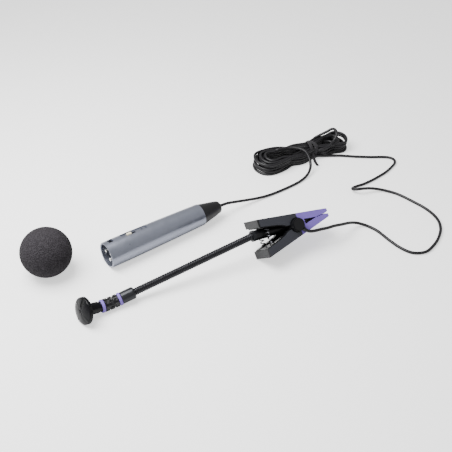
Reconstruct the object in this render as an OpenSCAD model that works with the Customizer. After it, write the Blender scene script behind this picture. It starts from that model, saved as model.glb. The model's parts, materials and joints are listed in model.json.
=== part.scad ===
// Clip-on gooseneck microphone with its cord, phantom power adapter and foam windscreen.
// Lengths in millimetres. +X runs along the neck from the head to the clamp, +Z is up.
// z = 0 is the table that the microphone lies on. The clamp lies rolled on the edge of one half.

/* [Head] */
// Diameter of the domed cap over the capsule
cap_d = 18; // [16:0.5:24]
// Straight rim of the cap, along the head's axis
cap_rim = 2.5; // [1.6:0.1:4]
// Height of the cap's dome
cap_dome = 1.5; // [1:0.1:4]
// Wall of the cap
cap_wall = 0.6; // [0.4:0.05:0.9]
// Width of each sound window in the cap's rim
window_w = 3; // [2:0.1:5]
// Diameter of the capsule itself
capsule_d = 5.6; // [4:0.1:6.4]
// Diameter of the stem behind the cap
stem_d = 7.8; // [7:0.1:8]
// Distance from the middle of the front ring to the back of the cap
stem_len = 12.2; // [10:0.1:15]
// How far the cap's axis rises towards its front
cap_rise = 18; // [8:0.5:20]
// How far the cap's axis turns away from the neck's side
cap_turn = 8; // [0:0.5:12]

/* [Shock mount] */
// Diameter of the two coloured rings
ring_d = 8.8; // [8.6:0.1:12]
// Thickness of the two coloured rings
ring_t = 1.9; // [1.5:0.1:3]
// Length of the ribbed rubber between the rings
mount_len = 10.5; // [9:0.1:14]
// Diameter of the rubber between its bumps
mount_d = 7.8; // [7:0.1:8.4]
// Diameter of the stiff core inside the rubber
core_d = 4; // [3:0.1:5]

/* [Neck] */
// Diameter of the wound gooseneck
neck_d = 5; // [4.6:0.1:6]
// Number of links, each between two ball joints
link_count = 5; // [5:1:5]
// Distance from one ball joint to the next
link_pitch = 17.2; // [12:0.1:22]
// Diameter of the balls
ball_d = 4.2; // [3.8:0.1:4.4]
// Gap between a ball and its socket
ball_gap = 0.08; // [0.04:0.01:0.1]
// Diameter of the wire hole through the neck
wire_hole_d = 1.6; // [1:0.1:2]
// Diameter of the smooth ferrule behind the head
ferrule_d = 8.2; // [7:0.1:10]
// Length of the smooth ferrule behind the head
ferrule_len = 9.5; // [8:0.1:16]

/* [Swivel arm] */
// Diameter of the sleeve where the neck enters the clamp
sleeve_d = 7.4; // [6.8:0.1:7.6]
// Length of that sleeve
sleeve_len = 14; // [10:0.5:15]
// Distance from the pivot to the mouth of the sleeve
sleeve_reach = 32; // [30:0.5:36]
// Angle of the arm from the clamp's middle plane, as it lies
arm_angle = 6.5; // [3:0.5:7]

/* [Clamp] */
// Width of the clamp along its pivot
clamp_w = 20; // [19:0.5:24]
// Length of the levers, from the pivot to their ends
lever_len = 28.6; // [27:0.2:32]
// Length of the jaws, from the pivot to their tips
jaw_len = 27.5; // [26:0.2:34]
// Half height of the clamp at the lever ends
half_h = 13.8; // [13:0.1:16]
// Half height of the clamp at the jaw tips
tip_h = 3.2; // [2.6:0.1:5]
// Wall of the hard shells on the levers
shell_wall = 1.3; // [1:0.1:1.6]
// Thickness of the soft covers on the jaws
cover_wall = 1.4; // [1:0.1:1.8]
// Thickness of the rubber pads on the lever ends
end_pad = 1.2; // [0.8:0.1:2]
// Diameter of the hollow pivot pin
pin_d = 4; // [3.4:0.1:4.6]
// Running clearance of the pivot, on the radius
pin_gap = 0.05; // [0.02:0.01:0.1]
// Radius of the hinge lugs
lug_r = 5; // [4.6:0.1:5.4]
// Thickness of each hinge lug
lug_t = 2.3; // [1.8:0.1:2.4]
// Diameter of the round knob that the cord leaves through
knob_d = 9.6; // [8:0.1:11]
// Height of that knob
knob_h = 3.2; // [2.9:0.1:4]
// Diameter of the two springs between the levers
spring_d = 3.8; // [3:0.1:4]
// Wire of the springs
spring_wire = 0.8; // [0.6:0.1:1]
// Distance from the pivot to the springs
spring_reach = 21.6; // [20:0.2:22]
// Pitch of the grip teeth in the jaws
tooth_pitch = 1.5; // [1:0.1:2.4]

/* [Cord] */
// Diameter of the cord
cord_d = 2.3; // [2:0.1:3]
// Length of the strain relief at the knob
relief_len = 2.5; // [2:0.1:4]
// Height of the bundle of wound cord
hank_h = 12; // [8:0.5:18]

/* [Adapter] */
// Outer diameter of the connector shell
shell_d = 19; // [18.6:0.1:20]
// Inner diameter of the connector shell
shell_bore_d = 16.3; // [16:0.1:16.6]
// Length of the front shell to its seam
front_len = 13.2; // [12:0.1:16]
// Distance from the front to the joint of barrel and boot
barrel_end = 78.5; // [70:0.5:95]
// Outer diameter of the barrel at the boot
barrel_end_d = 16.4; // [15:0.1:18]
// Wall of the barrel
barrel_wall = 1.3; // [1:0.1:1.8]
// Length of the rubber boot behind the barrel
boot_len = 17.5; // [12:0.5:26]
// Diameter of each contact pin
contact_d = 2.4; // [2.3:0.05:2.5]
// Radius of the circle that the contact pins stand on
contact_circle_r = 4.1; // [3.9:0.05:4.3]
// Roll of the adapter, which leans its switch away
adapter_roll = 15; // [0:1:30]

/* [Windscreen] */
// Diameter of the foam ball
foam_d = 35; // [30:0.5:45]
// Diameter of the hole that the stem passes
foam_hole_d = 8; // [6:0.5:10]

/* [Hidden] */
$fn = 48;
pivot_x = 73.05;
pivot_y = -33.6;
clamp_roll = 51;
pivot_z = half_h * sin(clamp_roll) + clamp_w / 2 * cos(clamp_roll);
// distances along the neck from its first ball joint towards the head
last_ball = link_count * link_pitch;
ferrule_at = last_ball + 3;
rear_ring_at = ferrule_at + ferrule_len;
mount_at = rear_ring_at + ring_t;
mount_half = mount_len / 2;
mount_mid = mount_at + mount_half;
mount_rise = 5;
kink_lap = 0.5;
row_pitch = (mount_half - 0.4) / 2;
rim_bevel = 0.3;
tail_d = stem_d - 1.6;
shoulder = 1.3;
lip = 0.3;
socket_d = ball_d + 2 * ball_gap;
// the first ball joint, at the mouth of the sleeve
neck_reach = sleeve_reach - lip;
neck_root = [pivot_x - neck_reach * cos(arm_angle),
    pivot_y + neck_reach * sin(arm_angle) * cos(clamp_roll),
    pivot_z + neck_reach * sin(arm_angle) * sin(clamp_roll)];
// the head comes down until the back edge of the cap's rim rests on the table
ring_z = cap_d / 2 * cos(cap_rise) - (stem_len + rim_bevel) * sin(cap_rise);
bend_z = ring_z - (mount_half + ring_t / 2) * sin(mount_rise);
neck_drop = asin((neck_root.z - bend_z) / mount_mid);
neck_yaw = 4.6;
// the rubber flexes at its middle, and the head leans on from the front ring
bend = neck_root + mount_mid * [-cos(neck_drop) * cos(neck_yaw), cos(neck_drop) * sin(neck_yaw), -sin(neck_drop)];
capsule_len = 3.4;
// outline of one clamp half, b up from the middle plane, a along the clamp
function outer_b(a) = half_h - (half_h - tip_h) * (a + lever_len) / (lever_len + jaw_len);
jaw_start = 2;
hub_clear = lug_r + 0.4;
arm_hub_r = lug_r - 0.3;
// the collar stands back from the socket's mouth, clear of the bent first link
collar_t = 2;
collar_back = collar_t + 0.4;
lug_gap = 0.1;
outer_lug = clamp_w / 2 - 0.1;
inner_lug = outer_lug - lug_t - lug_gap;
tip_round = contact_d * 0.15;
contact_front = 1.2 + contact_d * 0.3;
contact_tail = 8;
arm_half = inner_lug - lug_t - lug_gap;
mouth_at = jaw_len - 3;
window_end = jaw_len - 10.4;
tip_gap = 0.8;
rest_gap = 0.15;
pocket_b = 8;
spring_p = clamp_w / 2 - shell_wall - spring_d / 2 - 0.5;
spring_turns = 6.5;
knob_base = clamp_w / 2 + 0.1;
barrel_lap = 3;
lap_gap = 0.35;
lap_wall = 0.9;
insert_flange = 1;
insert_depth = front_len - insert_flange;
lap_r = shell_d / 2 - barrel_wall - lap_gap;
insert_r = lap_r - lap_wall;
plate_z = insert_r + 0.1;
plate_t = 1.1;
window_x = 4.5;
window_l = 7;
knob_w = 2.2;
slide_gap = 0.1;
slide_l = 3.4;
board_l = 38;
adapter_x = -46.9;
adapter_y = 16.1;
adapter_yaw = 3.7;
adapter_len = barrel_end + boot_len;
slot_w = 6;
slot_from = front_len + 0.4;
slot_len = 20;
foam_x = -83.05;
foam_y = 32.5;
relief_end = knob_d / 2 + relief_len;
cord_p = knob_base + 1.6;
exit_angle = 52;
// the tie's middle on the hank, and the two lobes of the hank's outline
tie_at = [161, 53.4];
lobe_left = [118.2, 58.2];
lobe_right = [186.4, 51.4];
lobe_left_r = 12.6;
lobe_right_r = 11.5;
waist_r = 5.8;
tie_wall = 0.7;
// middle line of the cord from the strain relief to the hank
MIC_ROUTE = [[77.4, -46.2, 20.1], [78.6, -46.8, 19.2], [81, -47.5, 18.3], [84.6, -48.2, 17.8], [89.4, -48.8, 17.4],
    [95.4, -48.9, 16.2], [103, -47.6, 13.9], [111, -46.4, 11], [118.6, -44.8, 8], [125.4, -43.9, 5],
    [130.8, -45.4, 2.8], [135, -50, 1.5], [137.2, -58, 1.2], [137, -70.4, 1.2], [137.8, -81.6, 1.2],
    [141.4, -90.2, 1.2], [149.6, -94.2, 1.2], [159, -92.4, 1.2], [169, -88, 1.2], [179, -80.6, 1.2],
    [185.4, -71, 1.2], [187.6, -58.6, 1.2], [186, -45, 1.2], [182.8, -30.8, 1.2], [177, -22, 1.8],
    [171.6, -18.2, 3], [166.6, -16.2, 4.2], [160.8, -14.6, 5.2], [156.8, -12.4, 4.8], [155.4, -9, 3.4],
    [158, -6, 1.9], [163.2, -5.2, 1.2], [170, -5.9, 1.2], [179.6, -5.4, 1.2], [188, -4.3, 1.2],
    [197, -2.7, 1.2], [207, 0.7, 1.2], [213.6, 4.1, 1.2], [216.2, 8.7, 1.2], [214.4, 13.2, 1.2],
    [209, 17.4, 1.2], [203, 21, 1.2], [191, 29.8, 1.2], [184.6, 35.2, 1.2], [180.4, 39.2, 1.3]];
// middle line of the cord from the hank to the boot of the adapter
PLUG_ROUTE = [[133, 59.2, 12.7], [139, 56.2, 13.7], [145, 50.8, 14], [148.2, 44.8, 13.2], [148.4, 39.2, 9.8],
    [146, 33.6, 5.6], [139.6, 28.6, 2.6], [129.6, 25.2, 1.3], [116, 23.4, 1.2], [99, 22.8, 1.2], [86.6, 23.2, 2.2],
    [75.4, 23.4, 4.4], [64, 23.2, 7.2], [56, 22.8, 9.1], [48.9, 22.3, 9.5]];

module in_clamp() translate([pivot_x, pivot_y, pivot_z]) rotate([clamp_roll, 0, 0]) children();
module in_arm() in_clamp() rotate([0, 0, -arm_angle]) children();
module in_neck() translate(neck_root) rotate([0, -neck_drop, -neck_yaw]) children();
module in_mount() translate(bend) rotate([0, mount_rise, 0]) children();
module in_head() in_mount() translate([-mount_half - ring_t / 2, 0, 0]) rotate([0, -mount_rise, 0])
    rotate([0, cap_rise, cap_turn]) children();
module in_adapter() translate([adapter_x, adapter_y, shell_d / 2]) rotate([-adapter_roll, 0, adapter_yaw]) children();
module lower_half() mirror([0, 1, 0]) children();
// a round bar along -X that starts at distance s
module bar(s, l, d) translate([-s - l, 0, 0]) rotate([0, 90, 0]) cylinder(h = l, d = d);
// a turned piece along +X, from points of distance and radius
module turned(points) rotate([0, 90, 0]) rotate_extrude() polygon([for (q = points) [q[1], q[0]]]);
// a slab across the clamp's width, from a flat outline of a and b
module slab(points, w) translate([0, 0, -w / 2]) linear_extrude(w) polygon(points);
// a round bar along the pivot, between heights p0 and p1
module post(p0, p1, r) translate([0, 0, p0]) cylinder(h = p1 - p0, r = r);
module both_ends(p0, p1, r) {
    post(p0, p1, r);
    post(-p1, -p0, r);
}

// ---- head
module rim_windows() {
    for (k = [0:3]) rotate([90 * k, 0, 0])
        translate([-stem_len - cap_rim - cap_dome, -window_w / 2, cap_d / 2 - 1.6]) cube([cap_rim + cap_dome - 0.7, window_w, 3]);
    // one window runs on over the dome
    translate([-stem_len - cap_rim - cap_dome - 1, -1, 3]) cube([cap_dome + 1.4, 2, cap_d / 2]);
}
function dome(d, h, x0, n) = [for (k = [0:n]) [x0 - h * sin(90 * k / n), d / 2 * cos(90 * k / n)]];
module capsule_cap() color("#26262a") in_head() difference() {
    turned(concat([[-stem_len, 0], [-stem_len, cap_d / 2 - rim_bevel],
        [-stem_len - rim_bevel, cap_d / 2]],
        dome(cap_d, cap_dome, -stem_len - cap_rim, 12)));
    turned(concat([[-stem_len - cap_wall, 0], [-stem_len - cap_wall, cap_d / 2 - cap_wall]],
        dome(cap_d - 2 * cap_wall, cap_dome - cap_wall, -stem_len - cap_rim, 12)));
    bar(stem_len - 1, 3, stem_d);
    rim_windows();
}
module cap_gauze() color("#151516") in_head() difference() {
    bar(stem_len + cap_wall, cap_rim - cap_wall + 0.3, cap_d - 2 * cap_wall - 1.6);
    bar(stem_len, cap_rim + 3, cap_d - 2 * cap_wall - 2.6);
}
module capsule() color("#b9bac0") in_head() bar(stem_len + cap_wall - capsule_len, capsule_len, capsule_d);
module stem() {
    sphere(d = tail_d);
    bar(0, stem_len + cap_wall, stem_d);
}
module capsule_housing() color("#232327") in_head() difference() {
    union() {
        stem();
        bar(stem_len - 1, 1, stem_d + 1.6);
    }
    bar(stem_len + cap_wall - capsule_len, capsule_len + 1, capsule_d);
    bar(-5, stem_len + 5, wire_hole_d);
}
module front_ring() color("#a79bd0") difference() {
    in_mount() bar(mount_half, ring_t, ring_d);
    in_head() stem();
}
module mount_half_body(row0, d) {
    bar(-kink_lap, mount_half + kink_lap, d);
    for (row = [0:1], k = [0:7]) translate([-row_pitch * (row + 1) - 0.3, 0, 0])
        rotate([45 * k + 22.5 * (row + row0), 0, 0]) translate([0, -1.2, mount_d / 2 - 0.5])
            cube([row_pitch - 0.7, 2.4, 1]);
}
module shock_mount() color("#1d1d20") difference() {
    union() {
        in_mount() mount_half_body(0, mount_d);
        in_neck() translate([-mount_mid, 0, 0]) mirror([1, 0, 0]) mount_half_body(1, mount_d + 0.2);
    }
    in_head() sphere(d = tail_d);
    in_neck() bar(mount_at - 1, mount_half, core_d);
}
module mount_core() color("#3a3a3e") in_neck() difference() {
    bar(mount_at, mount_half - 1, core_d);
    bar(mount_at - 1, mount_half + 2, wire_hole_d);
}
module rear_ring() color("#a79bd0") in_neck() difference() {
    bar(rear_ring_at, ring_t, ring_d);
    bar(rear_ring_at - 1, ring_t + 2, wire_hole_d);
}
// ball and stem of a joint that stands s along the neck
module joint_ball(s) {
    translate([-s, 0, 0]) sphere(d = ball_d);
    bar(s, shoulder + 0.2, ball_d - 1.4);
}
module neck_ferrule() color("#2a2a2e") in_neck() difference() {
    union() {
        joint_ball(last_ball);
        bar(last_ball + shoulder, 3, neck_d);
        bar(ferrule_at + 0.8, ferrule_len - 0.8, ferrule_d);
        bar(ferrule_at, ferrule_len, ferrule_d - 1);
    }
    bar(last_ball - 4, ferrule_len + 9, wire_hole_d);
}
module neck_link(k) color("#29292d") in_neck() difference() {
    union() {
        joint_ball(k * link_pitch);
        bar(k * link_pitch + shoulder, link_pitch - shoulder - lip, neck_d);
    }
    translate([-(k + 1) * link_pitch, 0, 0]) sphere(d = socket_d);
    bar(k * link_pitch - 4, link_pitch + 8, wire_hole_d);
}

// ---- swivel arm, drawn along its own -X
module neck_sleeve() color("#222225") in_arm() difference() {
    bar(sleeve_reach - sleeve_len, sleeve_len - collar_back, sleeve_d);
    bar(0, sleeve_reach, neck_d + 0.4);
}
module sleeve_collar() color("#3c3c42") in_arm() difference() {
    bar(sleeve_reach - collar_back, collar_t, sleeve_d + 0.4);
    bar(0, sleeve_reach + 4, neck_d + 0.4);
}
module arm_body() difference() {
    union() {
        post(-arm_half, arm_half, arm_hub_r);
        bar(2, sleeve_reach - sleeve_len - 2, sleeve_d - 0.8);
        bar(sleeve_reach - sleeve_len, sleeve_len - lip, neck_d + 0.4);
    }
    post(-arm_half - 1, arm_half + 1, pin_d / 2 + pin_gap);
    bar(0, sleeve_reach + 4, wire_hole_d);
}
// the socket lies in the neck's own frame, like the ball in it
module swivel_arm() color("#1b1b1d") difference() {
    in_arm() arm_body();
    in_neck() sphere(d = socket_d);
}

// ---- clamp, drawn with its pivot at the origin; each half is drawn above the middle plane
module pivot_pin() color("#8d8f94") in_clamp() difference() {
    post(-knob_base, knob_base, pin_d / 2);
    post(0, knob_base + 1, wire_hole_d / 2 + 0.4);
}
module pin_cap() color("#1a1a1c") in_clamp() post(-knob_base - 1.6, -knob_base, knob_d / 2 - 0.6);
module cord_exit() translate([0, 0, cord_p]) rotate([0, 0, -exit_angle]) children();
module cord_knob() color("#151517") in_clamp() difference() {
    union() {
        post(knob_base, knob_base + knob_h - 0.6, knob_d / 2);
        post(knob_base, knob_base + knob_h, knob_d / 2 - 0.6);
    }
    post(knob_base - 1, cord_p, wire_hole_d / 2 + 0.4);
    cord_exit() bar(-knob_d, knob_d, cord_d);
}
// inner edge of a lever, from the pivot out
function lever_inner(rise) = [[-5.2, 1.6 - rise], [-8, 2.3 - rise], [-10.5, 3.7 - rise], [-14, 5 - rise],
    [-19, 6.2 - rise], [-24, 7.4 - rise], [-lever_len + end_pad, 8.2 - rise]];
function lever_outline(rise, skin) = concat(
    [[jaw_start, outer_b(jaw_start) - skin], [jaw_start, 1.6 - rise]], lever_inner(rise),
    [[-lever_len + end_pad, outer_b(-lever_len) - skin - 0.2]]);
function jaw_core_outline() = [[jaw_start, outer_b(jaw_start) - cover_wall], [jaw_start, rest_gap + 0.2],
    [jaw_len - cover_wall, rest_gap + 0.2], [jaw_len - cover_wall, outer_b(jaw_len) - cover_wall]];
module hub_cut(w, r) post(-w / 2, w / 2, r);
module spring_pocket() for (side = [-1, 1])
    translate([-spring_reach, 0, side * spring_p]) rotate([-90, 0, 0]) cylinder(h = pocket_b, d = spring_d + 0.4);
// the stiff inner part of a half, without its lugs
module half_core() difference() {
    union() {
        slab(lever_outline(0.7, shell_wall), clamp_w - 2 * shell_wall);
        slab(jaw_core_outline(), clamp_w - 2 * cover_wall);
    }
    // room for the swivel arm and its sleeve between the levers
    slab([[jaw_start + hub_clear, -1], [-lever_len - 1, -1], [-lever_len - 1, 8.2], [-19, 6.3],
        [hub_clear, 6.3]], 2 * arm_half + 0.4);
    spring_pocket();
}
module upper_frame() color("#1c1c1f") in_clamp() difference() {
    union() {
        difference() {
            half_core();
            hub_cut(2 * (inner_lug + lug_gap), hub_clear);
            hub_cut(clamp_w + 2, lug_r - 0.4);
        }
        both_ends(inner_lug + lug_gap, outer_lug, lug_r);
    }
    hub_cut(clamp_w + 2, pin_d / 2);
}
module lower_frame() color("#1c1c1f") in_clamp() lower_half() difference() {
    union() {
        difference() {
            half_core();
            hub_cut(2 * arm_half + 0.2, hub_clear);
            hub_cut(clamp_w + 2, lug_r - 0.4);
        }
        both_ends(arm_half + lug_gap, inner_lug, lug_r);
    }
    hub_cut(clamp_w + 2, pin_d / 2 + pin_gap);
    both_ends(inner_lug, clamp_w, hub_clear);
}
module half_shell() difference() {
    slab(lever_outline(0, 0), clamp_w);
    half_core_solid();
    hub_cut(clamp_w + 2, hub_clear);
}
module half_core_solid() slab(lever_outline(4, shell_wall), clamp_w - 2 * shell_wall);
module upper_shell() color("#5a5c66") in_clamp() half_shell();
module lower_shell() color("#5a5c66") in_clamp() lower_half() half_shell();
function window_b(a) = max(rest_gap, 2.1 * (window_end - a) / (window_end - 7));
function teeth() = [for (a = [window_end + 1 : tooth_pitch : mouth_at - tooth_pitch]) each
    [[a, rest_gap], [a + tooth_pitch * 0.3, rest_gap + 0.5], [a + tooth_pitch * 0.6, rest_gap]]];
module half_cover() difference() {
    slab(concat([[jaw_start, outer_b(jaw_start)], [jaw_start, rest_gap], [7, rest_gap], [7, window_b(7)],
        [window_end, rest_gap]], teeth(), [[mouth_at, rest_gap], [jaw_len, tip_gap],
        [jaw_len, outer_b(jaw_len) - 0.4], [jaw_len - 0.6, outer_b(jaw_len)]]), clamp_w);
    slab(jaw_core_outline(), clamp_w - 2 * cover_wall);
    translate([jaw_start - 1, -1, -clamp_w / 2 + cover_wall]) cube([5 - jaw_start, 3, clamp_w - 2 * cover_wall]);
    hub_cut(clamp_w + 2, hub_clear);
}
module upper_jaw_cover() color("#a79bd0") in_clamp() half_cover();
module lower_jaw_cover() color("#a79bd0") in_clamp() lower_half() half_cover();
module half_pad() slab([[-lever_len, outer_b(-lever_len)], [-lever_len + end_pad, outer_b(-lever_len) - 0.2],
    [-lever_len + end_pad, 8.2], [-lever_len, 8.4]], clamp_w);
module upper_end_pad() color("#2b2a2c") in_clamp() half_pad();
module lower_end_pad() color("#6a6a6c") in_clamp() lower_half() half_pad();
// a coil along b, from one pocket to the other
function coil_at(t) = let (r = (spring_d - spring_wire) / 2, w = 360 * spring_turns * t)
    [r * cos(w), -pocket_b + spring_wire / 2 + (2 * pocket_b - spring_wire) * t, r * sin(w)];
SPRING = [for (k = [0:10 * spring_turns]) coil_at(k / (10 * spring_turns))];
module front_spring() color("#d0d2d6") in_clamp() translate([-spring_reach, 0, spring_p])
    tube(SPRING, spring_wire, 6, [0, 1, 0]);
module rear_spring() color("#d0d2d6") in_clamp() translate([-spring_reach, 0, -spring_p])
    tube(SPRING, spring_wire, 6, [0, 1, 0]);

// ---- cord
function unit(v) = v / norm(v);
function heading(p, i) = unit(p[min(i + 1, len(p) - 1)] - p[max(i - 1, 0)]);
function ring_points(p, i, d, n, up) = let (h = heading(p, i), s = unit(cross(h, up)), u = cross(s, h))
    [for (k = [0:n - 1]) p[i] + d / 2 * (s * cos(360 * k / n) + u * sin(360 * k / n))];
module tube(p, d, n, up = [0, 0, 1]) {
    last = len(p) - 1;
    polyhedron(points = [for (i = [0:last]) each ring_points(p, i, d, n, up)],
        faces = concat([[for (k = [0:n - 1]) k]], [for (i = [0:last - 1], k = [0:n - 1])
            let (j = (k + 1) % n) [i * n + j, i * n + k, (i + 1) * n + k, (i + 1) * n + j]],
            [[for (k = [n - 1:-1:0]) last * n + k]]));
}
module strain_relief() color("#101012") in_clamp() cord_exit() difference() {
    turned([[knob_d / 2 - 0.2, 0], [knob_d / 2 - 0.2, 1.55],
        [relief_end, 1.35], [relief_end, 0]]);
    cylinder(h = 20, d = knob_d, center = true);
    bar(-relief_end - 1, relief_end + 1, cord_d);
}
module cord_mic_side() color("#39373a") tube(MIC_ROUTE, cord_d, 8);
module cord_plug_side() color("#39373a") tube(PLUG_ROUTE, cord_d, 8);
module hank_outline() {
    hull() {
        translate(lobe_left) circle(r = lobe_left_r, $fn = 32);
        translate(tie_at) circle(r = waist_r, $fn = 32);
    }
    hull() {
        translate(lobe_right) circle(r = lobe_right_r, $fn = 32);
        translate(tie_at) circle(r = waist_r, $fn = 32);
    }
}
module tie_bands(inner) translate([tie_at.x, tie_at.y, 0]) rotate([0, 0, -7]) for (x = [-4.4, 1.6])
    difference() {
        translate([x, -waist_r - tie_wall, 0]) cube([2.8, 2 * (waist_r + tie_wall), hank_h + tie_wall]);
        if (inner) translate([x - 1, -waist_r + tie_wall, tie_wall])
            cube([5, 2 * (waist_r - tie_wall), hank_h - 2 * tie_wall]);
    }
module cord_hank() color("#39373a") difference() {
    linear_extrude(hank_h) hank_outline();
    tie_bands(true);
}
module cord_tie() color("#48474b") tie_bands(true);

// ---- adapter, drawn with its front face at the origin and its body along +X
function barrel_r(x) = let (t = (x - front_len) / (barrel_end - front_len))
    shell_d / 2 - (shell_d - barrel_end_d) / 2 * (0.45 * t + 0.55 * t * t);
module xlr_shell() color("#8f96a8") in_adapter() difference() {
    turned([[0, shell_bore_d / 2 + 0.3], [0, shell_d / 2 - 0.5], [0.5, shell_d / 2 - 0.05],
        [front_len, shell_d / 2], [front_len, lap_r], [front_len + barrel_lap, lap_r],
        [front_len + barrel_lap, insert_r], [front_len, insert_r], [front_len, shell_bore_d / 2],
        [0.3, shell_bore_d / 2]]);
    translate([3.4, -2.4, shell_d / 2 - 3]) cube([3.6, 4.8, 5]);
    translate([front_len - 3, -1, -shell_d / 2 - 1]) cube([1.4, 2, 2]);
    translate([slot_from - 0.1, -slot_w / 2 - 0.1, insert_r]) cube([slot_len, slot_w + 0.2, 5]);
}
module adapter_barrel() color("#8f96a8") in_adapter() difference() {
    turned(concat([for (k = [0:12]) let (x = front_len + (barrel_end - front_len) * k / 12) [x, barrel_r(x)]],
        [for (k = [12:-1:0]) let (x = front_len + (barrel_end - front_len) * k / 12)
            [x, barrel_r(x) - barrel_wall]]));
    translate([slot_from, -slot_w / 2, plate_z]) cube([slot_len, slot_w, 5]);
}
module xlr_insert() color("#161618") in_adapter() difference() {
    union() {
        translate([insert_depth, 0, 0]) bar(-insert_flange, insert_flange, shell_bore_d);
        translate([insert_depth, 0, 0]) bar(-4, 4, 2 * insert_r);
    }
    for (a = [-68, 68, 180]) contact(a, contact_d);
    translate([insert_depth - 1, 0, contact_circle_r]) bar(-7, 7, 1.6);
}
// a contact is full width in front of the insert and thinner inside it
module contact(angle, d) rotate([angle, 0, 0]) translate([0, 0, contact_circle_r]) {
    translate([contact_front, 0, 0]) bar(-(insert_depth - contact_front), insert_depth - contact_front, d);
    translate([insert_depth, 0, 0]) bar(-contact_tail, contact_tail + 1, d - 0.6);
    translate([contact_front - tip_round, 0, 0]) bar(-2, 2, d * 0.7);
}
module contact_pin_1() color("#d8d8d4") in_adapter() contact(68, contact_d);
module contact_pin_2() color("#d8d8d4") in_adapter() contact(-68, contact_d);
module contact_pin_3() color("#d8d8d4") in_adapter() contact(180, contact_d);
module insert_screw() color("#a0a0a4") in_adapter() translate([insert_depth, 0, contact_circle_r]) bar(-5, 5, 1.6);
module switch_plate() color("#7f8696") in_adapter() difference() {
    translate([slot_from, -slot_w / 2, plate_z]) cube([slot_len, slot_w, plate_t]);
    translate([slot_from + window_x, -knob_w / 2 - slide_gap, plate_z - 1])
        cube([window_l, knob_w + 2 * slide_gap, plate_t + 2]);
    translate([slot_from + 16, -1, plate_z + plate_t - 0.6]) cube([1.2, 2, 1]);
}
module switch_knob() color("#e6e0c8") in_adapter() translate([slot_from + window_x + slide_gap, 0, plate_z]) {
    translate([0, -knob_w / 2, -0.5]) cube([slide_l, knob_w, plate_t + 1.4]);
    translate([-0.8, -knob_w / 2 - 0.8, -slide_gap - 0.9]) cube([slide_l + 1.6, knob_w + 1.6, 0.9]);
}
module circuit_board() color("#2f6b4a") in_adapter() translate([24, -6, -1.6]) cube([board_l, 12, 1.6]);
module cord_chuck() color("#b4b4b8") in_adapter() difference() {
    translate([barrel_end - 6, 0, 0]) bar(-9, 9, 7);
    translate([barrel_end - 8, 0, 0]) bar(-14, 14, cord_d);
}
module rear_boot() color("#1c1b1d") in_adapter() difference() {
    turned([[barrel_end - 5, 0], [barrel_end - 5, barrel_end_d / 2 - barrel_wall - 0.4],
        [barrel_end, barrel_end_d / 2 - barrel_wall - 0.1], [barrel_end, barrel_end_d / 2 - 0.2],
        [barrel_end + 1.5, barrel_end_d / 2 - 0.5], [adapter_len - 5, 5.6], [adapter_len - 1, 4.6],
        [adapter_len, 3.8], [adapter_len, 0]]);
    translate([barrel_end - 6, 0, 0]) bar(-9, 9, 7);
    translate([barrel_end - 6, 0, 0]) bar(-boot_len - 7, boot_len + 7, cord_d);
}
module windscreen() color("#3b3638") translate([foam_x, foam_y, foam_d / 2]) difference() {
    sphere(d = foam_d, $fn = 64);
    sphere(d = cap_d + 0.6);
    rotate([-90, 0, 0]) cylinder(h = foam_d, d = foam_hole_d);
}

capsule_cap();
cap_gauze();
capsule();
capsule_housing();
front_ring();
shock_mount();
rear_ring();
mount_core();
neck_ferrule();
neck_link(0);  // neck_link_1
neck_link(1);  // neck_link_2
neck_link(2);  // neck_link_3
neck_link(3);  // neck_link_4
neck_link(4);  // neck_link_5
neck_sleeve();
sleeve_collar();
swivel_arm();
pivot_pin();
pin_cap();
cord_knob();
upper_frame();
upper_shell();
upper_jaw_cover();
upper_end_pad();
lower_frame();
lower_shell();
lower_jaw_cover();
lower_end_pad();
front_spring();
rear_spring();
strain_relief();
cord_mic_side();
cord_hank();
cord_plug_side();
cord_tie();
xlr_shell();
adapter_barrel();
xlr_insert();
contact_pin_1();
contact_pin_2();
contact_pin_3();
insert_screw();
switch_plate();
switch_knob();
circuit_board();
cord_chuck();
rear_boot();
windscreen();
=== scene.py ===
import json
import math
import bpy
import numpy as np
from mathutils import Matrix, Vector


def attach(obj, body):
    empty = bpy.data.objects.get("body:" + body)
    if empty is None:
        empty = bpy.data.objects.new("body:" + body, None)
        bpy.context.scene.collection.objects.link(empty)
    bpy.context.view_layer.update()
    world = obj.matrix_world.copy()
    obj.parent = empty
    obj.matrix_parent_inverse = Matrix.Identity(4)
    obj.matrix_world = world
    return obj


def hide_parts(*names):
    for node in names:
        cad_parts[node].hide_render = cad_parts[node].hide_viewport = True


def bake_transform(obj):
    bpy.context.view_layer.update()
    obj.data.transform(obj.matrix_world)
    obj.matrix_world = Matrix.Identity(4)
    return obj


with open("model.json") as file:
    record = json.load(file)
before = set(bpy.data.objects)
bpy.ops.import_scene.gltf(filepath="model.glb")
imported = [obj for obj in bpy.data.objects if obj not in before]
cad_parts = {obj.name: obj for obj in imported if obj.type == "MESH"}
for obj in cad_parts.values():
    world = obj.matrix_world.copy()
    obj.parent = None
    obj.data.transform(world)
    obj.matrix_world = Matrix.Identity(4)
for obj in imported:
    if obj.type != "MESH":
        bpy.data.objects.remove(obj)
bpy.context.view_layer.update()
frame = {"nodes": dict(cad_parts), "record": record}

# Lengths below are millimetres in the row frame and are scaled to metres when a mesh is made.
toMetres = 0.001
tiny = 0.02  # clearance that keeps soft things just above the table

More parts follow.
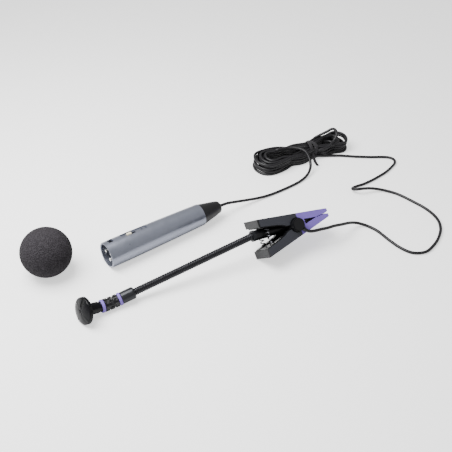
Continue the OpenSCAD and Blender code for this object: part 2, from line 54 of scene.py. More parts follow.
# sizes that more than one piece needs
neck = {"root": (41.5538, -31.3417, 19.8066), "drop": 8.519, "yaw": 4.6, "pitch": 17.2, "links": 5,
        "diameter": 5.15, "coilsPerLink": 13, "around": 40, "stepsPerCoil": 8, "groove": 0.5, "swell": 0.05,
        "sleeveEnd": 3.2, "ferruleEnd": 3.4, "bendReach": 6.5}
head = {"ferruleDiameter": 8.2, "ferruleLength": 9.5, "ferruleGap": 3.0,
        "ringWidth": 1.9, "ringDiameter": 8.8, "mountLength": 10.5, "mountDiameter": 7.8,
        "mountRise": 5.0, "rise": 18.0, "turn": 8.0,
        "stemLength": 12.2, "stemDiameter": 7.8}


# frames of the neck, the rubber mount and the head
def turnAbout(axis, degrees):
    c, s = math.cos(math.radians(degrees)), math.sin(math.radians(degrees))
    turns = {"x": [[1, 0, 0], [0, c, -s], [0, s, c]], "y": [[c, 0, s], [0, 1, 0], [-s, 0, c]],
             "z": [[c, -s, 0], [s, c, 0], [0, 0, 1]]}
    return np.array(turns[axis])


def place(points, where):
    turn, origin = where
    return np.asarray(points, float) @ turn.T + np.asarray(origin, float)


def along(distance, where):
    # the point at a distance along -x of a frame
    return place([[-distance, 0, 0]], where)[0]


neckPlace = (turnAbout("z", -neck["yaw"]) @ turnAbout("y", -neck["drop"]), neck["root"])
ferruleAt = neck["links"] * neck["pitch"] + head["ferruleGap"]
rearRingAt = ferruleAt + head["ferruleLength"]
mountAt = rearRingAt + head["ringWidth"]
mountHalf = head["mountLength"] / 2
bendPoint = along(mountAt + mountHalf, neckPlace)
mountPlace = (turnAbout("y", head["mountRise"]), bendPoint)
ringPoint = along(mountHalf + head["ringWidth"] / 2, mountPlace)
headPlace = (turnAbout("z", head["turn"]) @ turnAbout("y", head["rise"]), ringPoint)


# shared shader group and materials
def makeGrainGroup():
    # Bump of a fine noise for grain and a coarse one for moulded unevenness, and the coarse one as a mask.
    group = bpy.data.node_groups.new("surfaceGrain", "ShaderNodeTree")
    for label in ("Scale", "Strength", "Depth"):
        group.interface.new_socket(label, in_out="INPUT", socket_type="NodeSocketFloat")
    group.interface.new_socket("Normal", in_out="OUTPUT", socket_type="NodeSocketVector")
    group.interface.new_socket("Mask", in_out="OUTPUT", socket_type="NodeSocketFloat")
    entry = group.nodes.new("NodeGroupInput")
    leave = group.nodes.new("NodeGroupOutput")
    at = group.nodes.new("ShaderNodeTexCoord")
    fine = group.nodes.new("ShaderNodeTexNoise")
    fine.inputs["Detail"].default_value = 3
    coarse = group.nodes.new("ShaderNodeTexNoise")
    coarse.inputs["Scale"].default_value = 160
    both = group.nodes.new("ShaderNodeMath")
    both.operation = "MULTIPLY_ADD"
    both.inputs[1].default_value = 0.7
    bump = group.nodes.new("ShaderNodeBump")
    link = group.links.new
    link(at.outputs["Object"], fine.inputs["Vector"])
    link(at.outputs["Object"], coarse.inputs["Vector"])
    link(entry.outputs["Scale"], fine.inputs["Scale"])
    link(fine.outputs["Fac"], both.inputs[0])
    link(coarse.outputs["Fac"], both.inputs[2])
    link(both.outputs[0], bump.inputs["Height"])
    link(entry.outputs["Strength"], bump.inputs["Strength"])
    link(entry.outputs["Depth"], bump.inputs["Distance"])
    link(bump.outputs["Normal"], leave.inputs["Normal"])
    link(coarse.outputs["Fac"], leave.inputs["Mask"])
    return group


grainGroup = makeGrainGroup()


def makeMaterial(name, color, roughness, metallic=0.0, coat=0.0, sheen=0.0, specular=0.3,
                 grain=(2500, 0.15), depth=0.0001):
    # grain is its scale and strength, depth its height; colour and roughness vary slowly by these spreads
    colorSpread, roughSpread = 0.08, 0.05
    material = bpy.data.materials.new(name)
    material.use_nodes = True
    tree = material.node_tree
    shader = tree.nodes["Principled BSDF"]
    shader.inputs["Metallic"].default_value = metallic
    shader.inputs["Specular IOR Level"].default_value = specular
    shader.inputs["Coat Weight"].default_value = coat
    shader.inputs["Coat Roughness"].default_value = 0.15
    shader.inputs["Sheen Weight"].default_value = sheen
    texture = tree.nodes.new("ShaderNodeGroup")
    texture.node_tree = grainGroup
    for socket, value in zip(("Scale", "Strength", "Depth"), (*grain, depth)):
        texture.inputs[socket].default_value = value
    tint = tree.nodes.new("ShaderNodeMix")
    tint.data_type = "RGBA"
    tint.inputs["A"].default_value = (*[c * (1 - colorSpread) for c in color], 1)
    tint.inputs["B"].default_value = (*[min(1, c * (1 + colorSpread)) for c in color], 1)
    rough = tree.nodes.new("ShaderNodeMapRange")
    rough.inputs["To Min"].default_value = roughness - roughSpread
    rough.inputs["To Max"].default_value = roughness + roughSpread
    link = tree.links.new
    link(texture.outputs["Normal"], shader.inputs["Normal"])
    link(texture.outputs["Mask"], tint.inputs["Factor"])
    link(texture.outputs["Mask"], rough.inputs["Value"])
    link(tint.outputs["Result"], shader.inputs["Base Color"])
    link(rough.outputs["Result"], shader.inputs["Roughness"])
    return material


# shadedPit is painted shade, a darker colour for the sunken middle of each open cell; strut is the foam's own
# colour
foamLook = {"shadedPit": (0.006, 0.005, 0.006), "strut": (0.036, 0.033, 0.037),
            "cellScale": 1300, "cellDepth": 0.0006}


def makeFoamMaterial():
    # Open cells: the distance to each cell's middle gives the bump and a colour with painted shade, dark in
    # each cell's sunken pit and lighter on the struts.
    material = bpy.data.materials.new("foamCells")
    material.use_nodes = True
    tree = material.node_tree
    shader = tree.nodes["Principled BSDF"]
    shader.inputs["Roughness"].default_value = 0.95
    shader.inputs["Specular IOR Level"].default_value = 0.15
    at = tree.nodes.new("ShaderNodeTexCoord")
    cells = tree.nodes.new("ShaderNodeTexVoronoi")
    cells.inputs["Scale"].default_value = foamLook["cellScale"]
    spread = tree.nodes.new("ShaderNodeMapRange")
    spread.inputs["From Max"].default_value = 0.7
    color = tree.nodes.new("ShaderNodeMix")
    color.data_type = "RGBA"
    # painted shade: the pit colour darkens each cell's sunken middle
    color.inputs["A"].default_value = (*foamLook["shadedPit"], 1)
    color.inputs["B"].default_value = (*foamLook["strut"], 1)
    bump = tree.nodes.new("ShaderNodeBump")
    bump.inputs["Strength"].default_value = 0.9
    bump.inputs["Distance"].default_value = foamLook["cellDepth"]
    link = tree.links.new
    link(at.outputs["Object"], cells.inputs["Vector"])
    link(cells.outputs["Distance"], spread.inputs["Value"])
    link(spread.outputs["Result"], color.inputs["Factor"])
    link(color.outputs["Result"], shader.inputs["Base Color"])
    link(cells.outputs["Distance"], bump.inputs["Height"])
    link(bump.outputs["Normal"], shader.inputs["Normal"])
    return material


# one material for each slot of the record, and a darker one for the two springs
materials = {
    "dark_plastic": makeMaterial("glossyCap", (0.003, 0.003, 0.004), 0.24, specular=0.12, grain=(2500, 0.04)),
    "gauze": makeMaterial("windowGauze", (0.004, 0.004, 0.004), 0.7, grain=(4000, 0.6)),
    "steel": makeMaterial("plainSteel", (0.6, 0.61, 0.63), 0.28, metallic=1.0),
    "violet_rubber": makeMaterial("violetRubber", (0.17, 0.115, 0.42), 0.5, specular=0.2, grain=(1800, 0.12)),
    "black_rubber": makeMaterial("blackRubber", (0.006, 0.006, 0.007), 0.35, grain=(2200, 0.3)),
    "black_plastic": makeMaterial("blackPlastic", (0.004, 0.004, 0.005), 0.32, grain=(2500, 0.12)),
    "dark_metal": makeMaterial("darkMetal", (0.022, 0.023, 0.026), 0.3, metallic=0.6, grain=(2500, 0.06)),
    "wound_steel": makeMaterial("woundSteel", (0.020, 0.020, 0.023), 0.27, metallic=0.7, grain=(2500, 0.03)),
    "slate_shell": makeMaterial("slateShell", (0.026, 0.027, 0.034), 0.4, grain=(1500, 0.2)),
    "grey_rubber": makeMaterial("stippledRubber", (0.030, 0.030, 0.032), 0.6, grain=(1400, 0.8),
                                depth=0.0003),
    "cord_jacket": makeMaterial("cordJacket", (0.008, 0.0075, 0.009), 0.4, grain=(2500, 0.03)),
    "tie_strap": makeMaterial("tieStrap", (0.012, 0.011, 0.013), 0.8, sheen=0.1, grain=(1600, 0.7),
                              depth=0.0003),
    "satin_metal": makeMaterial("satinMetal", (0.24, 0.255, 0.31), 0.3, metallic=0.85, grain=(3500, 0.06)),
    "bright_metal": makeMaterial("brightPins", (0.9, 0.89, 0.85), 0.16, metallic=1.0, grain=(2500, 0.02)),
    # the switch knob is real, but its pale cream colour is a painted highlight standing in for the glint on
    # it
    "switch_plastic": makeMaterial("switchKnobPaintedGlint", (0.72, 0.66, 0.50), 0.35, coat=0.3),
    "board": makeMaterial("circuitBoard", (0.03, 0.14, 0.07), 0.4),
    "foam": makeFoamMaterial(),
}
springWire = makeMaterial("springWire", (0.05, 0.05, 0.055), 0.3, metallic=1.0, grain=(2500, 0.03))


# meshes
def faceOutward(mesh):
    # the signed volume under a closed mesh's triangles is negative when its faces point inwards
    mesh.calc_loop_triangles()
    corners = np.empty(len(mesh.loop_triangles) * 3, int)
    mesh.loop_triangles.foreach_get("vertices", corners)
    points = np.empty(len(mesh.vertices) * 3)
    mesh.vertices.foreach_get("co", points)
    a, b, c = points.reshape(-1, 3)[corners].reshape(-1, 3, 3).transpose(1, 0, 2)
    if np.sum(a * np.cross(b, c)) < 0:
        mesh.flip_normals()


def makePiece(name, points, faces, slotName, body, smooth=True):
    mesh = bpy.data.meshes.new(name)
    mesh.from_pydata((np.asarray(points) * toMetres).tolist(), [], faces)
    mesh.polygons.foreach_set("use_smooth", [smooth] * len(mesh.polygons))
    mesh.materials.append(materials[slotName])
    mesh.update()
    faceOutward(mesh)
    piece = bpy.data.objects.new(name, mesh)
    bpy.context.scene.collection.objects.link(piece)
    if body:
        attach(piece, body)
    return piece


def gridFaces(rows, columns, looped=False):
    # quads of a grid whose last column joins the first; looped joins the last row to the first too
    index = np.arange(rows * columns).reshape(rows, columns)
    index = np.concatenate([index, index[:, :1]], 1)
    if looped:
        index = np.concatenate([index, index[:1]], 0)
    quads = np.stack([index[:-1, :-1], index[:-1, 1:], index[1:, 1:], index[1:, :-1]], -1)
    return quads.reshape(-1, 4).tolist()


def tubeFaces(rows, columns):
    # the grid's quads and a flat face over each end
    last = (rows - 1) * columns
    return gridFaces(rows, columns) + [list(range(columns))[::-1], list(range(last, last + columns))]


def turnedPiece(name, profile, where, slotName, body, around=96):
    # Surface of revolution about local x: point = (x, r cos t, r sin t) for each (x, r) of the profile.
    angle = np.linspace(0, 2 * np.pi, around, endpoint=False)
    x = np.repeat(profile[:, :1], around, 1)
    grid = np.stack([x, profile[:, 1:] * np.cos(angle), profile[:, 1:] * np.sin(angle)], -1)
    return makePiece(name, place(grid.reshape(-1, 3), where), tubeFaces(len(profile), around), slotName, body)


def roundCorners(corners, radius, steps=4):
    # Open profile whose inner corners are quadratic arcs: (1 - t)^2 p + 2 t (1 - t) corner + t^2 q.
    corners = np.array(corners, float)
    out = [corners[0]]
    for before, corner, after in zip(corners[:-2], corners[1:-1], corners[2:]):
        a, b = before - corner, after - corner
        reach = min(radius, 0.45 * np.linalg.norm(a), 0.45 * np.linalg.norm(b))
        p = corner + a / np.linalg.norm(a) * reach
        q = corner + b / np.linalg.norm(b) * reach
        t = np.linspace(0, 1, steps + 1)[:, None]
        out += list((1 - t) ** 2 * p + 2 * t * (1 - t) * corner + t ** 2 * q)
    return np.array(out + [corners[-1]])


def smoothPath(points, spacing):
    # Catmull-Rom curve through the points, resampled at even spacing.
    p = np.array(points, float)
    p = np.concatenate([[2 * p[0] - p[1]], p, [2 * p[-1] - p[-2]]])
    t = np.linspace(0, 1, 24, endpoint=False)[:, None]
    runs = []
    for a, b, c, d in zip(p[:-3], p[1:-2], p[2:-1], p[3:]):
        bend = (2 * a - 5 * b + 4 * c - d) * t ** 2 + (3 * b - a - 3 * c + d) * t ** 3
        runs.append(0.5 * (2 * b + (c - a) * t + bend))
    dense = np.concatenate(runs + [p[-2:-1]])
    reached = np.concatenate([[0], np.cumsum(np.linalg.norm(np.diff(dense, axis=0), axis=1))])
    even = np.linspace(0, reached[-1], max(8, int(reached[-1] / spacing)))
    return np.stack([np.interp(even, reached, dense[:, k]) for k in range(3)], -1)


def pathFrame(path):
    # unit directions sideways and upwards at each point of a path
    ahead = np.gradient(path, axis=0)
    ahead /= np.linalg.norm(ahead, axis=1, keepdims=True)
    sideways = np.cross(ahead, (0, 0, 1))
    sideways /= np.linalg.norm(sideways, axis=1, keepdims=True)
    return sideways, np.cross(sideways, ahead)


# camera, light and table
camera = {"position": (-174.95, -335.0, 320.1), "target": (46.95, 9.4, 0.0), "lens": 55.2}
light = {"world": 0.62, "floor": 0.8, "floorSeen": 0.9, "aim": (40, 0, 0),
         "panels": [("keyPanel", (-160, 90, 420), 0.34, 6.0, (1, 1, 1)),
                    ("fillPanel", (-300, -420, 300), 0.4, 0.5, (0.97, 0.98, 1))]}


def addObject(name, data):
    thing = bpy.data.objects.new(name, data)
    bpy.context.scene.collection.objects.link(thing)
    return thing


def aimAt(thing, position, target):
    thing.location = Vector(position) * toMetres
    thing.rotation_euler = (Vector(target) * toMetres - thing.location).to_track_quat("-Z", "Y").to_euler()


def makeCameraAndLight():
    view = bpy.data.cameras.new("camera")
    view.lens = camera["lens"]
    view.clip_start = 0.01
    eye = addObject("camera", view)
    aimAt(eye, camera["position"], camera["target"])
    bpy.context.scene.camera = eye
    world = bpy.data.worlds.new("softWhite")
    world.use_nodes = True
    sky = world.node_tree.nodes["Background"]
    sky.inputs["Color"].default_value = (1.0, 1.0, 0.99, 1)
    sky.inputs["Strength"].default_value = light["world"]
    bpy.context.scene.world = world
    for name, position, size, power, color in light["panels"]:
        lamp = bpy.data.lights.new(name, "AREA")
        lamp.energy = power
        lamp.size = size
        lamp.color = color
        aimAt(addObject(name, lamp), position, light["aim"])


def makeTable():
    white = bpy.data.materials.new("tableWhite")
    white.use_nodes = True
    tree = white.node_tree
    shader = tree.nodes["Principled BSDF"]
    shader.inputs["Base Color"].default_value = (*[light["floor"]] * 3, 1)
    shader.inputs["Roughness"].default_value = 0.9
    shader.inputs["Specular IOR Level"].default_value = 0.1
    shader.inputs["Emission Color"].default_value = (1, 1, 1, 1)
    # the glow is for the camera alone, so the table is pale and the things on it keep their dark undersides
    rays = tree.nodes.new("ShaderNodeLightPath")
    seen = tree.nodes.new("ShaderNodeMath")
    seen.operation = "MULTIPLY"
    seen.inputs[1].default_value = light["floorSeen"]
    tree.links.new(rays.outputs["Is Camera Ray"], seen.inputs[0])
    tree.links.new(seen.outputs[0], shader.inputs["Emission Strength"])
    mesh = bpy.data.meshes.new("table")
    mesh.from_pydata([(-4, -4, 0), (4, -4, 0), (4, 4, 0), (-4, 4, 0)], [], [(0, 1, 2, 3)])
    mesh.materials.append(white)
    addObject("table", mesh)


makeCameraAndLight()
makeTable()
print("camera, light and table made")

# cord: out of the clamp's pin, along the table, round the hank and on to the adapter
cordSize = {"diameter": 2.3, "turns": 15, "spacing": 1.2, "standingTurn": 8}
hank = {"tie": (161.0, 53.4), "angle": -5.7, "left": 55.0, "right": 36.0, "halfWidth": 11.4, "nestStep": 2.3,
        "layers": 5, "layerStep": 2.15, "firstLayer": 1.25, "tieStep": 1.95, "tieFirst": 1.3}
micRoute = [
    (77.4, -46.2, 20.1), (78.6, -46.8, 19.2), (81, -47.5, 18.3), (84.6, -48.2, 17.8), (89.4, -48.8, 17.4),
    (95.4, -48.9, 16.2), (103, -47.6, 13.9), (111, -46.4, 11), (118.6, -44.8, 8), (125.4, -43.9, 5),
    (130.8, -45.4, 2.8), (135, -50, 1.5), (137.2, -58, 1.2), (137, -70.4, 1.2), (137.8, -81.6, 1.2),
    (141.4, -90.2, 1.2), (149.6, -94.2, 1.2), (159, -92.4, 1.2), (169, -88, 1.2), (179, -80.6, 1.2),
    (185.4, -71, 1.2), (187.6, -58.6, 1.2), (186, -45, 1.2), (182.8, -30.8, 1.2), (177, -22, 1.8),
    (171.6, -18.2, 3), (166.6, -16.2, 4.2), (160.8, -14.6, 5.2), (156.8, -12.4, 4.8), (155.4, -9, 3.4),
    (158, -6, 1.9), (163.2, -5.2, 1.2), (170, -5.9, 1.2), (179.6, -5.4, 1.2), (188, -4.3, 1.2),
    (197, -2.7, 1.2), (207, 0.7, 1.2), (213.6, 4.1, 1.2), (216.2, 8.7, 1.2), (214.4, 13.2, 1.2),
    (209, 17.4, 1.2), (203, 21, 1.2), (191, 29.8, 1.2), (184.6, 35.2, 1.2)]
intoHank = [(179.6, 38.6, 1.4), (168, 44.5, 2.0)]
outOfHank = [(130, 58.6, 12.8)]
plugRoute = [
    (139, 56.2, 13.7), (145, 50.8, 14), (148.2, 44.8, 13.2), (148.4, 39.2, 9.8), (146, 33.6, 5.6),
    (139.6, 28.6, 2.6), (129.6, 25.2, 1.3), (116, 23.4, 1.2), (99, 22.8, 1.2), (86.6, 23.2, 2.2),
    (75.4, 23.4, 4.4), (64, 23.2, 7.2), (56, 22.8, 9.1), (48.9, 22.3, 9.5)]


def hankTurn(layer, nest, standing, chance):
    # One turn in the hank's frame, u from the tie, v across and z up: out along the front, round the left
    # lobe of half width r, back through the tie, and round the right lobe, which one standing turn lifts.
    low = hank["firstLayer"] + hank["layerStep"] * layer
    r = hank["halfWidth"] - hank["nestStep"] * nest + chance.uniform(-0.5, 0.5)
    left = hank["left"] - 3.6 * nest - chance.uniform(0, 4.0) - 0.5 * layer
    right = hank["right"] - 4.0 * nest - chance.uniform(0, 5.5)
    back = 1.2 + 2.0 * (nest + 0.3)
    front = -back
    wave = chance.uniform(-0.7, 0.7, 12)
    rr = r * 0.86 + wave[0]
    lift = (3.6 + chance.uniform(0, 3)) if standing else 0.0
    tieZ = hank["tieFirst"] + hank["tieStep"] * layer
    leftLobe = [
        (-30, -r * 0.86 + wave[2], low + wave[3] * 0.5),
        (-left + r * 0.9, -r + wave[4] * 0.4, low + wave[4] * 0.3),
        (-left + r * 0.25, -r * 0.72, low),
        (-left, 0.3 + wave[5], low + 0.3),
        (-left + r * 0.3, r * 0.75, low + 0.3),
        (-left + r, r * 0.98, low + 0.2),
        (-28, r * 0.8 + wave[6], low + wave[7] * 0.6)]
    rightLobe = [
        (right - rr * 0.8, rr * 0.9 + wave[9], low + 0.6 + lift * 1.5),
        (right - rr * 0.2, rr * 0.62, low + 0.7 + lift * 2),
        (right, 0.2 + wave[10], low + 0.6 + lift * 2.1),
        (right - rr * 0.25, -rr * 0.62, low + 0.4 + lift * 1.7),
        (right - rr * 0.85, -rr * 0.88 + wave[11], low + lift)]
    return [(0, front, tieZ), (-14, front * 1.3 - 1.6, tieZ + wave[1] * 0.6), *leftLobe,
            (-13, back * 1.25 + 1.0, tieZ + wave[8] * 0.6), (0, back, tieZ + 0.3),
            (10, back * 1.2 + 1.4, tieZ + 0.6 + lift * 0.6), *rightLobe,
            (10, front * 1.2 - 1.2, tieZ + lift * 0.2)]


def hankPath():
    # the turns in a shuffled order of layers and nests, turned and moved to the tie
    chance = np.random.RandomState(7)
    order = chance.permutation(cordSize["turns"])
    points = []
    for turn, spot in enumerate(order):
        nest, layer = divmod(spot, hank["layers"])
        points += hankTurn(layer, nest, turn == cordSize["standingTurn"], chance)
    local = np.array(points[1:])
    flat = local * (1, 1, 0) @ turnAbout("z", hank["angle"]).T + (*hank["tie"], 0)
    flat[:, 2] = np.maximum(local[:, 2], 1.2)
    return flat


def makeCord():
    radius = cordSize["diameter"] / 2
    joined = micRoute + intoHank + hankPath().tolist() + outOfHank + plugRoute
    path = smoothPath(joined, cordSize["spacing"])
    path[:, 2] = np.maximum(path[:, 2], radius + tiny)
    curve = bpy.data.curves.new("cord", "CURVE")
    curve.dimensions = "3D"
    curve.bevel_depth = radius * toMetres
    curve.bevel_resolution = 3
    curve.use_fill_caps = True
    spline = curve.splines.new("POLY")
    spline.points.add(len(path) - 1)
    spline.points.foreach_set("co", np.concatenate([path * toMetres, np.ones((len(path), 1))], 1).ravel())
    curve.materials.append(materials["cord_jacket"])
    piece = addObject("cord", curve)
    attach(piece, "base")
    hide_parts("cord_mic_side", "cord_hank", "cord_plug_side")


makeCord()

# tie: two crossed bands round the hank's waist and a hanging tail
tie = {"halfWidth": 6.3, "halfHeight": 6.15, "middle": 6.25, "width": 2.6, "roundness": 2.8, "around": 96,
       "bands": [("tieBandA", -1.2, 1.6, 0.5), ("tieBandB", 1.4, -1.8, 0.75)],
       "tailWidth": 2.2, "tailThickness": 0.5,
       "tail": [(158.4, 47.6, 9.0), (158.0, 45.4, 6.2), (157.4, 42.6, 3.0), (156.9, 39.6, 1.2),
                (156.4, 36.2, 0.8)]}


def tieBand(name, offset, lean, thickness):
    # Superellipse (a c, b s), where c = cos(t)^(2/n) and s = sin(t)^(2/n) keep their signs, swept by the
    # strap's section; lean slides the band along the hank as it rises.
    angle = np.linspace(0, 2 * np.pi, tie["around"], endpoint=False)
    power = 2 / tie["roundness"]
    c = np.sign(np.cos(angle)) * np.abs(np.cos(angle)) ** power
    s = np.sign(np.sin(angle)) * np.abs(np.sin(angle)) ** power
    half = tie["width"] / 2
    section = np.array([(-half, 0), (-half, thickness), (-half + 0.3, thickness + 0.15), (0, thickness + 0.2),
                        (half - 0.3, thickness + 0.15), (half, thickness), (half, 0)])
    x, out = section[:, :1], section[:, 1:]
    grid = np.stack([offset + lean * c * s + x, (tie["halfWidth"] + out) * c,
                     tie["middle"] + (tie["halfHeight"] + out) * s], -1)
    points = place(grid.reshape(-1, 3), (turnAbout("z", hank["angle"]), (*hank["tie"], 0)))
    points[:, 2] = np.maximum(points[:, 2], 0.05)
    return makePiece(name, points, gridFaces(len(section), tie["around"], looped=True), "tie_strap", "base")


def makeTie():
    bands = [tieBand(*band) for band in tie["bands"]]
    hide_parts("cord_tie")
    # tail: a rectangle carried along the path, point = path + x sideways + z up
    path = smoothPath(tie["tail"], 0.6)
    sideways, up = pathFrame(path)
    x, z = tie["tailWidth"] / 2, tie["tailThickness"] / 2
    corners = [(-x, -z), (x, -z), (x, z), (-x, z)]
    grid = np.stack([path + a * sideways + b * up for a, b in corners], 1)
    makePiece("tieTail", grid.reshape(-1, 3), tubeFaces(len(path), 4), "tie_strap", "base", smooth=False)
    print("tie made")


makeTie()


# neck: one wound piece about each ball joint
def makeNeck():
    # Wound hose: radius = r0 - g (1 - |cos(pi (x / coil - t / 2 pi))|) at distance x and angle t.
    coil = neck["pitch"] / neck["coilsPerLink"]
    around = neck["around"]
    angle = np.linspace(0, 2 * np.pi, around, endpoint=False)
    for joint in range(neck["links"] + 1):
        middle = joint * neck["pitch"]
        start = middle - (neck["pitch"] / 2 if joint else neck["sleeveEnd"])
        end = middle + (neck["pitch"] / 2 if joint < neck["links"] else neck["ferruleEnd"])
        distance = np.linspace(start, end, int((end - start) / coil * neck["stepsPerCoil"]))
        phase = distance[:, None] / coil - angle / (2 * np.pi)
        radius = neck["diameter"] / 2 + neck["swell"] - neck["groove"] * (1 - np.abs(np.cos(np.pi * phase)))
        x = -np.repeat(distance[:, None], around, 1)
        grid = np.stack([x, radius * np.cos(angle), radius * np.sin(angle)], -1)
        piece = makePiece("neckHose%d" % (joint + 1), place(grid.reshape(-1, 3), neckPlace),
                          tubeFaces(len(distance), around), "wound_steel", None)
        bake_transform(piece)
        if joint < neck["links"]:
            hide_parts("neck_link_%d" % (joint + 1))


makeNeck()


# ferrule, rings and stem, turned about the neck's, mount's and head's axes
def makeFerruleAndRings():
    width, r = head["ringWidth"], head["ringDiameter"] / 2
    neckR, f = neck["diameter"] / 2, head["ferruleDiameter"] / 2
    ferrule = [(-ferruleAt + 0.1, neckR + 0.1), (-ferruleAt, f - 0.6), (-ferruleAt - 0.6, f - 0.05),
               (-ferruleAt - 1.4, f), (-rearRingAt + 0.5, f), (-rearRingAt, f - 0.3)]
    piece = turnedPiece("ferrule", roundCorners(ferrule, 0.5), neckPlace, "dark_metal", "head")
    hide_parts("neck_ferrule")
    ring = np.array([(0, r - 0.45), (-0.1, r - 0.12), (-0.4, r), (-width + 0.4, r), (-width + 0.1, r - 0.12),
                     (-width, r - 0.45)])
    for name, start, where, node in (("rearRing", rearRingAt, neckPlace, "rear_ring"),
                                     ("frontRing", mountHalf, mountPlace, "front_ring")):
        piece = turnedPiece(name, roundCorners(ring - (start, 0), 0.3), where, "violet_rubber", "head")
        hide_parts(node)


def makeStem():
    q, length = head["stemDiameter"] / 2, head["stemLength"]
    groove = 0.8  # its depth beside the ring
    stem = [(0.6, q - 0.5), (-1.6, q - 0.35), (-2.2, q - groove), (-2.9, q - groove), (-3.5, q - 0.1),
            (-length + 2.2, q), (-length + 1.2, q + 0.7), (-length - 0.1, q + 1.6)]
    piece = turnedPiece("stem", roundCorners(stem, 0.5), headPlace, "dark_plastic", "head")
    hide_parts("capsule_housing")


makeFerruleAndRings()

# rubber mount with three staggered rows of blocks
rubber = {"steps": 150, "around": 192, "rows": 3, "blocks": 7, "foot": 0.35, "height": 0.8, "dimple": 0.22}


def makeRubberMount():
    # The path bends from the neck's line to the head's as a quadratic curve. The radius is the tube's less
    # the foot, plus height times a smooth step inside each block, less a dimple in its middle.
    s = np.linspace(0, 1, rubber["steps"])[:, None]
    near, far = along(mountAt, neckPlace), along(mountHalf, mountPlace)
    path = (1 - s) ** 2 * near + 2 * s * (1 - s) * bendPoint + s ** 2 * far
    sideways, up = pathFrame(path)
    angle = np.linspace(0, 2 * np.pi, rubber["around"], endpoint=False)[None]
    row = np.clip(np.floor(s * rubber["rows"]), 0, rubber["rows"] - 1)
    across = np.abs(((angle / (2 * np.pi) * rubber["blocks"] + 0.5 * row + 0.15) % 1) - 0.5) * 2
    down = np.abs(((s * rubber["rows"]) % 1) - 0.5) * 2
    block = np.clip((0.74 - across) / 0.16, 0, 1) * np.clip((0.80 - down) / 0.16, 0, 1)
    dimple = np.clip(1 - (across ** 2 + down ** 2) * 3.0, 0, 1) * rubber["dimple"]
    radius = head["mountDiameter"] / 2 - rubber["foot"] - dimple * block
    radius = (radius + rubber["height"] * (block * block * (3 - 2 * block)))[..., None]
    grid = path[:, None] + radius * (np.cos(angle)[..., None] * sideways[:, None]
                                     + np.sin(angle)[..., None] * up[:, None])
    piece = makePiece("mountRubber", grid.reshape(-1, 3), tubeFaces(rubber["steps"], rubber["around"]),
                      "black_rubber", "head")
    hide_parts("shock_mount")


makeRubberMount()
makeStem()

# cap with a domed front, four ridges, rim windows and a slot over the dome
cap = {"diameter": 18.0, "rim": 2.5, "dome": 1.6, "bevel": 0.3, "edge": 0.5, "around": 256, "ridges": 4,
       "ridgeHeight": 0.16, "sag": 0.16, "ridgeTurn": 20, "windowDepth": 0.7, "windowShare": 0.12,
       "slotAt": 0.6, "slotHalf": 1.1, "slotFrom": 2.8, "slotTo": 0.8, "slotDepth": 0.5, "backRadius": 3.2}


def makeCap():
    # The profile runs out over the front, round the edge, back along the rim and in over the back. Front
    # height = dome (1 - (r / R)^2), sagging between the ridges, plus a soft bump at each; windows are sunk.
    outerR, rim, bevel, edge = cap["diameter"] / 2, cap["rim"], cap["bevel"], cap["edge"]
    around = cap["around"]
    angle = np.linspace(0, 2 * np.pi, around, endpoint=False)[None]
    out = np.linspace(0.02, 1, 60)[:, None]
    corner = np.linspace(0, np.pi / 2, 10)[1:, None]
    side = np.linspace(0, 1, 26)[1:, None]
    backIn = np.linspace(0, 1, 12)[1:, None]
    radius = np.concatenate([out * (outerR - edge), outerR - edge + edge * np.sin(corner),
                             np.full_like(side, outerR), outerR - bevel * backIn,
                             (outerR - bevel) * (1 - backIn) + cap["backRadius"] * backIn])
    deep = np.concatenate([np.zeros_like(out), edge * (1 - np.cos(corner)),
                           edge + (rim - edge - bevel) * side, rim - bevel + bevel * backIn,
                           np.full_like(backIn, rim)])
    ridgeAngle = angle - math.radians(cap["ridgeTurn"])
    spoke = np.abs((ridgeAngle / (2 * np.pi) * cap["ridges"] + 0.5) % 1 - 0.5) * 2
    ridge = np.exp(-(spoke * radius / outerR / 0.12) ** 2)
    face = np.clip(1 - (radius / outerR) ** 2, 0, 1)
    onFront = radius < outerR - 0.4
    height = cap["dome"] * face * (1 - cap["sag"] * (1 - spoke) ** 2)
    height = height + cap["ridgeHeight"] * ridge * np.clip(radius / outerR * 3, 0, 1) * onFront
    x = -head["stemLength"] - rim + deep - height
    fullRadius = np.broadcast_to(radius, x.shape)
    clock = (angle / (2 * np.pi) * cap["ridges"]) % 1
    onRim = (deep > 0.35) & (deep < rim - 0.55) & (radius > outerR - 0.6)
    inWindow = (np.abs(clock - 0.5) < cap["windowShare"]) & onRim
    sunkRadius = np.where(inWindow, fullRadius - cap["windowDepth"], fullRadius)
    y, z = sunkRadius * np.cos(angle), sunkRadius * np.sin(angle)
    inSlot = (np.abs(y - cap["slotAt"]) < cap["slotHalf"]) & (deep < 0.45)
    inSlot = inSlot & (z > cap["slotFrom"]) & (z < outerR - cap["slotTo"])
    x = np.where(inSlot, x + cap["slotDepth"], x)
    tip = [[-head["stemLength"] - rim - cap["dome"], 0, 0]]
    points = np.concatenate([np.stack([x, y, z], -1).reshape(-1, 3), tip])
    rows = len(radius)
    middle, last = rows * around, (rows - 1) * around
    faces = gridFaces(rows, around)
    faces += [[middle, (k + 1) % around, k] for k in range(around)]
    faces += [list(range(last, last + around))]
    piece = makePiece("cap", place(points, headPlace), faces, "dark_plastic", "head")
    piece.data.materials.append(materials["gauze"])
    dark = (inWindow | inSlot).reshape(-1)
    sunk = dark[np.array(faces[:(rows - 1) * around])].all(1)
    index = np.zeros(len(faces), int)
    index[:len(sunk)] = sunk
    piece.data.polygons.foreach_set("material_index", index)
    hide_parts("capsule_cap")


makeCap()
print("head and neck made")

# foam ball
foam = {"centre": (-83.05, 32.5, 17.3), "diameter": 34.9, "hole": 8.2, "hollow": 18.8, "around": 300,
        "rows": 170, "roughness": 0.11, "innerRoughness": 0.02, "flatten": 0.985}


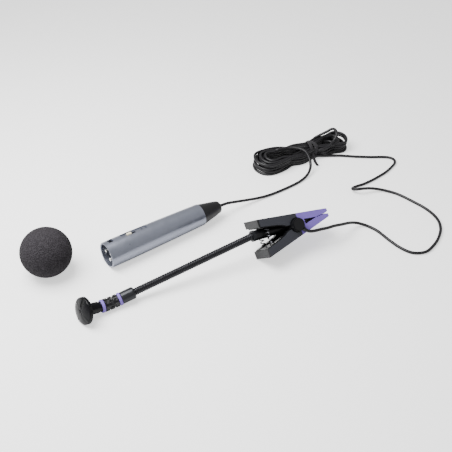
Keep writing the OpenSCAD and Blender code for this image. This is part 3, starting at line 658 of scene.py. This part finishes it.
def makeFoam():
    # Ball turned about y with a hole at +y: outer sphere, hole wall, then the hollow back to the axis. Each
    # point is moved out or in by a random amount.
    outerR, holeR, innerR = foam["diameter"] / 2, foam["hole"] / 2, foam["hollow"] / 2
    rows, around = foam["rows"], foam["around"]
    outer = np.linspace(0.004, math.pi - math.asin(holeR / outerR), rows)
    inner = np.linspace(math.pi - math.asin(holeR / innerR), 0.02, 50)
    sphere = np.stack([-outerR * np.cos(outer), outerR * np.sin(outer)], -1)
    hollow = np.stack([-innerR * np.cos(inner), innerR * np.sin(inner)], -1)
    bore = np.linspace(sphere[-1, 0], innerR * math.cos(math.asin(holeR / innerR)), 10)[1:-1]
    profile = np.concatenate([sphere, np.stack([bore, np.full_like(bore, holeR)], -1), hollow])
    angle = np.linspace(0, 2 * np.pi, around, endpoint=False)
    grid = np.stack([profile[:, 1:] * np.cos(angle), np.repeat(profile[:, :1], around, 1),
                     profile[:, 1:] * np.sin(angle)], -1)
    rough = np.random.RandomState(3).uniform(-1, 1, grid.shape[:2])
    rough[:rows] *= np.clip(np.sin(outer)[:, None] * 3, 0, 1)
    amount = np.where(np.arange(len(profile)) < rows, foam["roughness"], foam["innerRoughness"])
    normal = grid / np.linalg.norm(grid, axis=-1, keepdims=True)
    grid = (grid + normal * rough[..., None] * amount[:, None, None]) * (1, 1, foam["flatten"])
    points = (grid + foam["centre"]).reshape(-1, 3)
    points[:, 2] = np.maximum(points[:, 2], tiny)
    piece = makePiece("foamBall", points, tubeFaces(len(profile), around), "foam", "windscreen")
    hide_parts("windscreen")


makeFoam()

# CAD nodes that show as they are, each with its slot's material
edges = {"plain": 0.1, "upper_shell": 0.5, "lower_shell": 0.5, "upper_jaw_cover": 0.35,
         "lower_jaw_cover": 0.35, "upper_end_pad": 0.3, "lower_end_pad": 0.3, "xlr_shell": 0.12,
         "adapter_barrel": 0.12, "cord_knob": 0.3, "rear_boot": 0.4}


def dressNode(name, node, slotName):
    node.data.materials.clear()
    node.data.materials.append(springWire if name.endswith("_spring") else materials[slotName])
    node.data.polygons.foreach_set("use_smooth", [True] * len(node.data.polygons))
    bevel = node.modifiers.new("softEdges", "BEVEL")
    bevel.width = edges.get(name, edges["plain"]) * toMetres
    bevel.segments = 3
    bevel.limit_method = "ANGLE"
    bevel.angle_limit = math.radians(35)
    bevel.harden_normals = True


for entry in frame["record"]["subparts"]:
    dressNode(entry["node"], frame["nodes"][entry["node"]], entry["material_slot"])
print("CAD nodes dressed")
